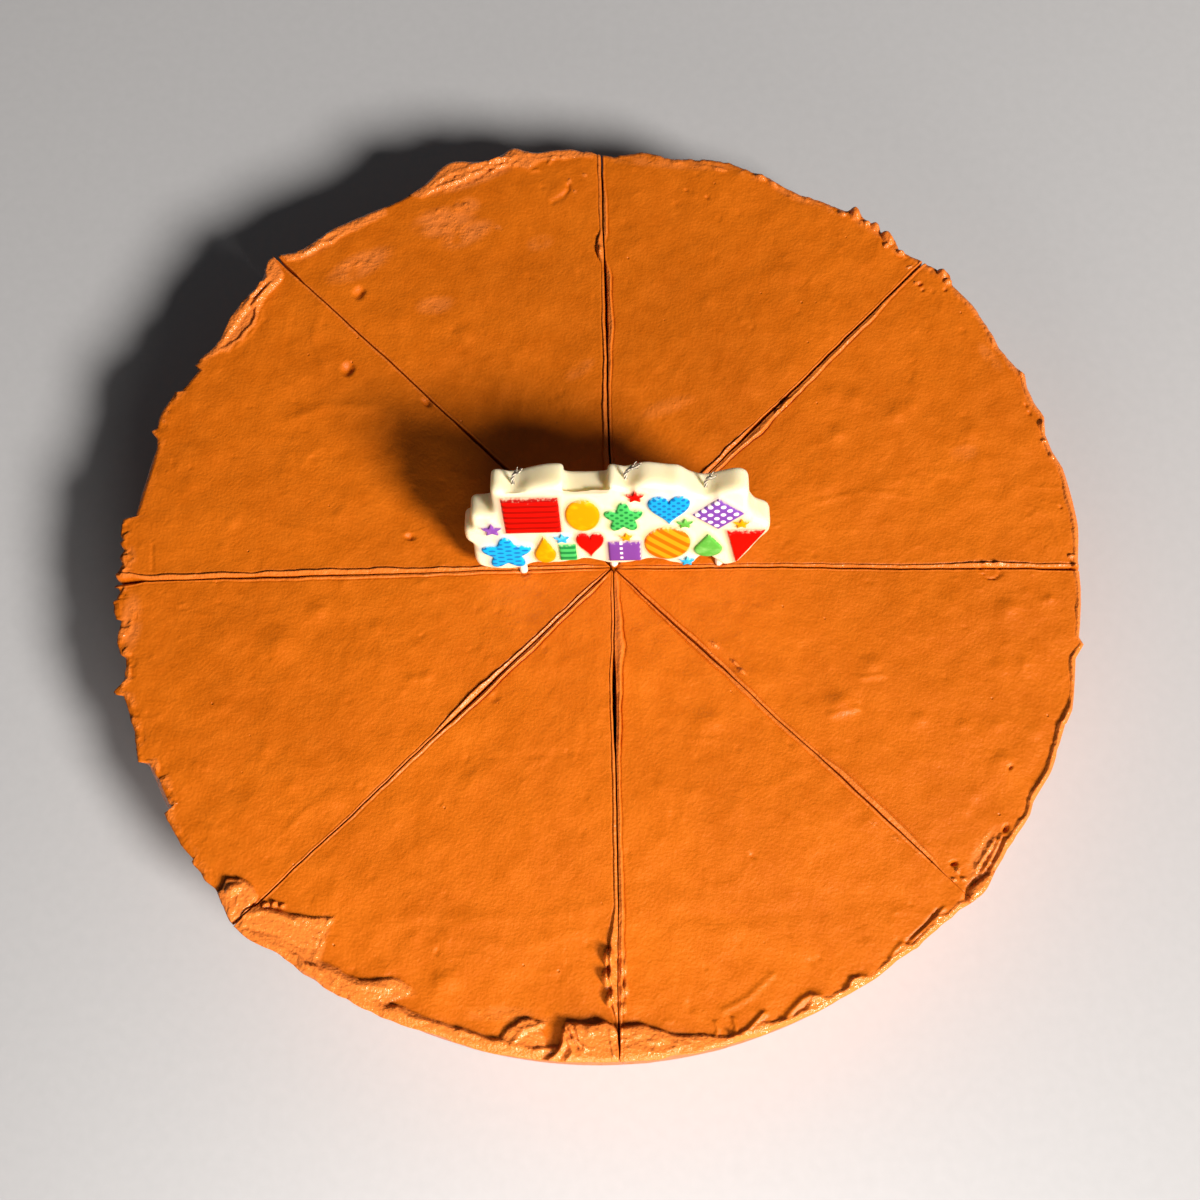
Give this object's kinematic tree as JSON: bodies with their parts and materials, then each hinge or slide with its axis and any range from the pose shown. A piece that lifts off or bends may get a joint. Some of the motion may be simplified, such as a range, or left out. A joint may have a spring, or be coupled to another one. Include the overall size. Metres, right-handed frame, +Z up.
{
  "type": "chocolate tofu tart",
  "caption": "Round chocolate tofu tart cut in wedges that still stand together, with ragged smeared rim and a flat wax candle on pins in its middle.",
  "frame": {"origin": "middle of the tart's underside, on the surface it stands on", "axes": "+Z up, +X to the right along the left-right cut, +Y to the back, away from the candle's painted face"},
  "size_m": [0.2609, 0.2611, 0.076],
  "materials": {
    "chocolate_cream": "set chocolate cream, soft satin sheen with glossy smears at the rim",
    "candle_wax": "cream white wax with painted motifs, soft gloss",
    "candle_pin": "white moulded plastic",
    "candle_wick": "waxed braided thread"
  },
  "bodies": {
    "root": {"slice_1": "chocolate_cream", "slice_2": "chocolate_cream", "slice_3": "chocolate_cream", "slice_4": "chocolate_cream", "slice_5": "chocolate_cream", "slice_6": "chocolate_cream", "slice_7": "chocolate_cream", "slice_8": "chocolate_cream", "candle_plaque": "candle_wax", "candle_pin_left": "candle_pin", "candle_pin_middle": "candle_pin", "candle_pin_right": "candle_pin", "candle_wick_left": "candle_wick", "candle_wick_middle": "candle_wick", "candle_wick_right": "candle_wick"}
  },
  "joints": []
}
